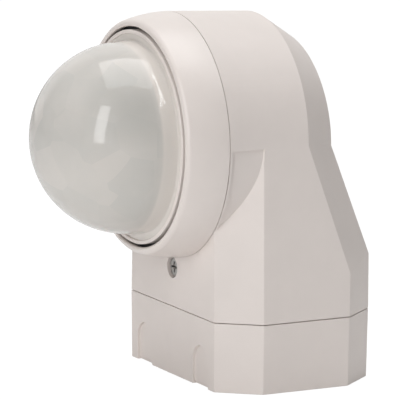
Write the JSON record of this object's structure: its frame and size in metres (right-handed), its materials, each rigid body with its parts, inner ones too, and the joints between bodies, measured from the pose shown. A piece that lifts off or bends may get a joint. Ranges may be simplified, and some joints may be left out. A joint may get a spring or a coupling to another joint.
{
  "type": "motion sensor",
  "caption": "Wall-mounted outdoor motion sensor: eight-sided wall base, body with a lying drum, pull-off cover ring and milky ball lens.",
  "frame": {"origin": "centre of the base's face that lies against the wall", "axes": "+Z away from the wall, the lens looks along -Y, X = 0 is the plane of symmetry"},
  "size_m": [0.076, 0.1, 0.1138],
  "materials": {
    "housing": "satin warm off-white moulded plastic",
    "trim": "satin warm off-white moulded plastic",
    "lens": "milky, slightly glossy lens plastic",
    "inner_plastic": "light grey moulded plastic",
    "sensor_plastic": "black moulded plastic",
    "terminal_plastic": "grey moulded plastic",
    "dial_plastic": "blue moulded plastic",
    "rubber": "black rubber",
    "grommet_rubber": "grey rubber",
    "steel": "zinc-plated steel",
    "brass": "bright brass",
    "circuit_board": "green solder mask",
    "relay_case": "black moulded case",
    "film_case": "yellow moulded case",
    "can_sleeve": "shrink sleeve",
    "varistor_coat": "dipped blue coating",
    "copper_coil": "enamelled copper winding",
    "connector_plastic": "natural moulded plastic",
    "cable_sheath": "smooth cable sheath",
    "sensor_can": "plated metal can",
    "filter_glass": "dark infrared filter",
    "led_plastic": "red tinted plastic"
  },
  "bodies": {
    "housing": {"base_box": "housing", "base_seal": "rubber", "cable_grommet": "grommet_rubber", "terminal_block": "terminal_plastic", "terminal_clamps": "steel", "terminal_screws": "steel", "contact_sockets": "brass", "screw_insert": "brass", "locking_screw": "steel", "screw_o_ring": "rubber", "body_shell": "housing", "body_floor": "inner_plastic", "floor_screws": "steel", "main_board": "circuit_board", "board_screws": "steel", "contact_blades": "brass", "relay": "relay_case", "film_capacitor": "film_case", "electrolytic_capacitor": "can_sleeve", "varistor": "varistor_coat", "fuse": "inner_plastic", "choke_coil": "copper_coil", "microcontroller": "relay_case", "board_connector": "connector_plastic", "sensor_plug": "connector_plastic", "ribbon_header": "connector_plastic", "settings_ribbon": "cable_sheath", "front_collar": "sensor_plastic", "collar_seal": "rubber", "settings_board": "circuit_board", "potentiometers": "relay_case"},
    "cover_ring": {"cover_ring": "trim"},
    "lens_unit": {"lens_holder": "trim", "lens_seal": "rubber", "lens_dome": "lens", "lens_retainer": "trim", "retaining_clip": "steel", "sensor_board": "circuit_board", "sensor_board_screws": "steel", "sensor_carrier": "sensor_plastic", "infrared_sensors": "sensor_can", "sensor_windows": "filter_glass", "status_led": "led_plastic", "light_sensor": "filter_glass", "sensor_cable": "cable_sheath"},
    "time_dial": {"time_dial": "dial_plastic"},
    "brightness_dial": {"brightness_dial": "dial_plastic"},
    "range_dial": {"range_dial": "dial_plastic"}
  },
  "joints": [
    {"name": "cover_ring_pull", "type": "slide", "parent": "housing", "child": "cover_ring", "axis": [0, -1, 0], "range_m": [0, 0.05]},
    {"name": "lens_turn", "type": "hinge", "parent": "housing", "child": "lens_unit", "pos_m": [0, -0.04, 0.0758], "axis": [0, -1, 0], "range_deg": [-60, 60]},
    {"name": "time_dial_turn", "type": "hinge", "parent": "housing", "child": "time_dial", "pos_m": [-0.008, -0.0312, 0.1093], "axis": [0, 0, 1], "range_deg": [-135, 135]},
    {"name": "brightness_dial_turn", "type": "hinge", "parent": "housing", "child": "brightness_dial", "pos_m": [0, -0.0312, 0.1093], "axis": [0, 0, 1], "range_deg": [-135, 135]},
    {"name": "range_dial_turn", "type": "hinge", "parent": "housing", "child": "range_dial", "pos_m": [0.008, -0.0312, 0.1093], "axis": [0, 0, 1], "range_deg": [-135, 135]}
  ]
}
